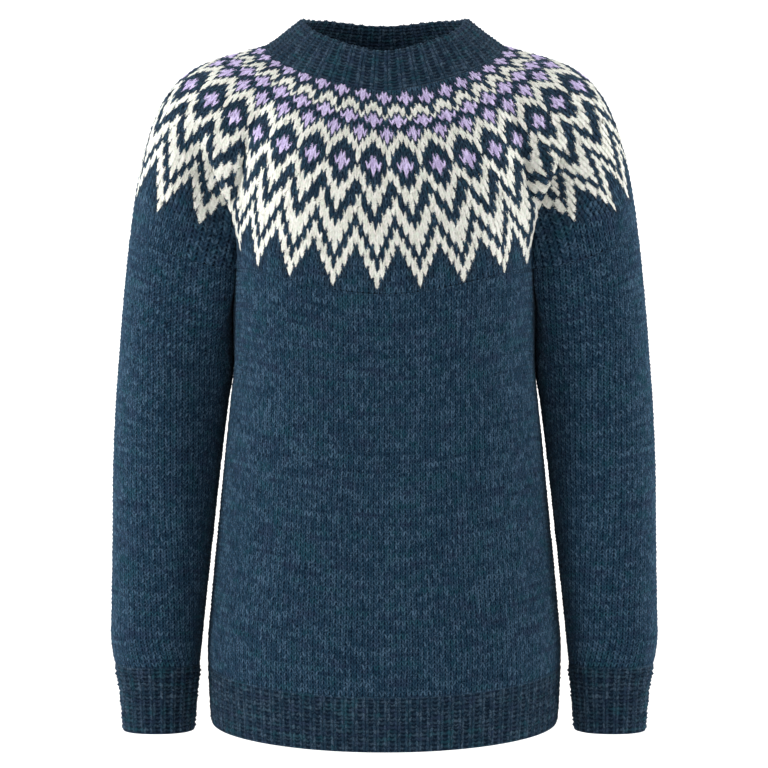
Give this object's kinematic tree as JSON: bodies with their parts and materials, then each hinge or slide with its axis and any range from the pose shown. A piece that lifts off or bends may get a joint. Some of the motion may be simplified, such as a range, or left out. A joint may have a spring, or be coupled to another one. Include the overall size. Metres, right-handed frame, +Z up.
{
  "type": "high neck sweater",
  "caption": "High neck sweater with a round patterned yoke, long sleeves and ribbed neckband, cuffs and hem, filled out as worn.",
  "frame": {"origin": "middle of the neck edge, at the height where the yoke rests on the wearer's shoulders", "axes": "+Z up, along the garment's length from hem to neck; -Y is the front; +X is the wearer's left"},
  "size_m": [0.5146, 0.254, 0.6873],
  "materials": {
    "petrol_wool": "matte heathered knit",
    "petrol_rib": "matte heathered rib",
    "patterned_wool": "matte stranded knit in petrol, cream and lilac"
  },
  "bodies": {
    "root": {"neckband": "petrol_rib", "yoke": "patterned_wool", "front": "petrol_wool", "back": "petrol_wool", "hem_front": "petrol_rib", "hem_back": "petrol_rib", "sleeve_left": "petrol_wool", "sleeve_right": "petrol_wool", "cuff_left": "petrol_rib", "cuff_right": "petrol_rib"}
  },
  "joints": []
}
